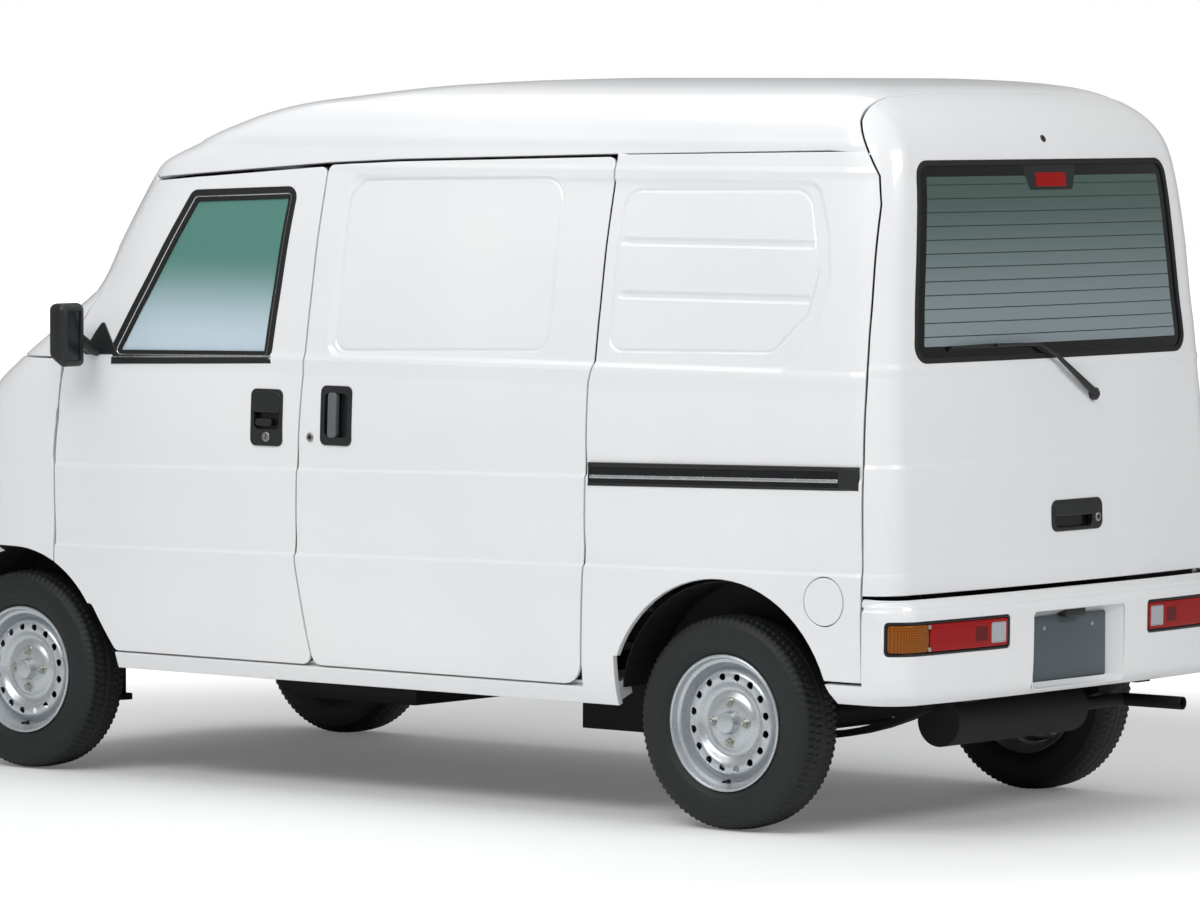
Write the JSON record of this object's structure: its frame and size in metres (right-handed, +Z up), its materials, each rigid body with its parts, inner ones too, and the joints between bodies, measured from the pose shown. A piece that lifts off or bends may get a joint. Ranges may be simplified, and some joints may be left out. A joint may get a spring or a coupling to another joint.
{
  "type": "kei panel van",
  "caption": "High-roof kei panel van with hinged cab doors, lift-up tailgate, bonnet and filler lid, steered front wheels and four free-rolling road wheels.",
  "frame": {"origin": "on the ground, midway between the bumpers on the centre line", "axes": "+X forward, +Y to the left side of the van, +Z up"},
  "size_m": [3.3947, 1.7782, 1.88],
  "materials": {
    "body_paint": "gloss white enamel",
    "black_paint": "satin black underbody paint",
    "bumper_plastic": "painted bumper skin",
    "black_plastic": "grained black moulding",
    "grey_plastic": "grained interior moulding",
    "window_glass": "green tinted glass",
    "lamp_clear": "clear lamp lens",
    "lamp_red": "moulded lens",
    "seat_cloth": "woven seat cover",
    "tyre_rubber": "tread rubber",
    "wheel_steel": "silver wheel enamel",
    "cast_parts": "as cast",
    "exhaust_steel": "aluminised, darkened"
  },
  "bodies": {
    "root": {"floor_pan": "body_paint", "chassis_frame": "black_paint", "front_suspension": "black_paint", "rear_axle": "black_paint", "engine": "cast_parts", "fuel_tank": "black_paint", "exhaust": "exhaust_steel", "cab_frame": "body_paint", "windscreen": "window_glass", "front_fenders": "body_paint", "front_panel": "body_paint", "headlamps": "lamp_clear", "front_bumper": "bumper_plastic", "rear_bumper": "bumper_plastic", "plate_carrier": "black_plastic", "tail_lamps": "lamp_red", "side_panel_left": "body_paint", "side_panel_right": "body_paint", "roof": "body_paint", "sliding_door_left": "body_paint", "sliding_door_right": "body_paint", "sliding_rails": "black_plastic", "dashboard": "grey_plastic", "seat_frames": "black_paint", "seats": "seat_cloth", "front_wipers": "black_plastic"},
    "door_left": {"front_door_left": "body_paint", "door_glass_left": "window_glass", "mirror_left": "black_plastic"},
    "door_right": {"front_door_right": "body_paint", "door_glass_right": "window_glass", "mirror_right": "black_plastic"},
    "tailgate": {"back_door": "body_paint", "back_window": "window_glass", "rear_wiper": "black_plastic"},
    "filler_lid": {"fuel_lid": "body_paint"},
    "bonnet": {"front_lid": "body_paint"},
    "steered_left": {"knuckle_left": "cast_parts"},
    "steered_right": {"knuckle_right": "cast_parts"},
    "hand_wheel": {"steering_wheel": "black_plastic"},
    "wheel_front_left": {"tyre_front_left": "tyre_rubber", "rim_front_left": "wheel_steel"},
    "wheel_front_right": {"tyre_front_right": "tyre_rubber", "rim_front_right": "wheel_steel"},
    "wheel_rear_left": {"tyre_rear_left": "tyre_rubber", "rim_rear_left": "wheel_steel"},
    "wheel_rear_right": {"tyre_rear_right": "tyre_rubber", "rim_rear_right": "wheel_steel"}
  },
  "joints": [
    {"name": "steer_left", "type": "hinge", "parent": "root", "child": "steered_left", "pos_m": [1.3125, 0.602, 0.27], "axis": [0, 0, 1], "range_deg": [-35, 35]},
    {"name": "steer_right", "type": "hinge", "parent": "root", "child": "steered_right", "pos_m": [1.3125, -0.602, 0.27], "axis": [0, 0, 1], "range_deg": [-35, 35]},
    {"name": "hand_wheel_turn", "type": "hinge", "parent": "root", "child": "hand_wheel", "pos_m": [0.9825, -0.3275, 1.01], "axis": [-0.6691, 0, 0.7431], "range_deg": [-525, 525]},
    {"name": "spin_front_left", "type": "hinge", "parent": "steered_left", "child": "wheel_front_left", "pos_m": [1.3125, 0.642, 0.27], "axis": [0, 1, 0], "continuous": true},
    {"name": "spin_front_right", "type": "hinge", "parent": "steered_right", "child": "wheel_front_right", "pos_m": [1.3125, -0.642, 0.27], "axis": [0, 1, 0], "continuous": true},
    {"name": "spin_rear_left", "type": "hinge", "parent": "root", "child": "wheel_rear_left", "pos_m": [-1.1075, 0.642, 0.27], "axis": [0, 1, 0], "continuous": true},
    {"name": "spin_rear_right", "type": "hinge", "parent": "root", "child": "wheel_rear_right", "pos_m": [-1.1075, -0.642, 0.27], "axis": [0, 1, 0], "continuous": true},
    {"name": "door_left_hinge", "type": "hinge", "parent": "root", "child": "door_left", "pos_m": [1.1645, 0.7375, 0.6], "axis": [0, 0, -1], "range_deg": [0, 68]},
    {"name": "door_right_hinge", "type": "hinge", "parent": "root", "child": "door_right", "pos_m": [1.1645, -0.7375, 0.6], "axis": [0, 0, 1], "range_deg": [0, 68]},
    {"name": "tailgate_hinge", "type": "hinge", "parent": "root", "child": "tailgate", "pos_m": [-1.4345, 0, 1.879], "axis": [0, 1, 0], "range_deg": [0, 86]},
    {"name": "bonnet_hinge", "type": "hinge", "parent": "root", "child": "bonnet", "pos_m": [1.475, 0, 1.119], "axis": [0, -1, 0], "range_deg": [0, 55]},
    {"name": "filler_lid_hinge", "type": "hinge", "parent": "root", "child": "filler_lid", "pos_m": [-1.3835, 0.7375, 0.592], "axis": [0, 0, -1], "range_deg": [0, 95]}
  ],
  "couplings": [
    {"joint": "steer_right", "follows": "steer_left", "ratio": 1},
    {"joint": "hand_wheel_turn", "follows": "steer_left", "ratio": 15}
  ]
}
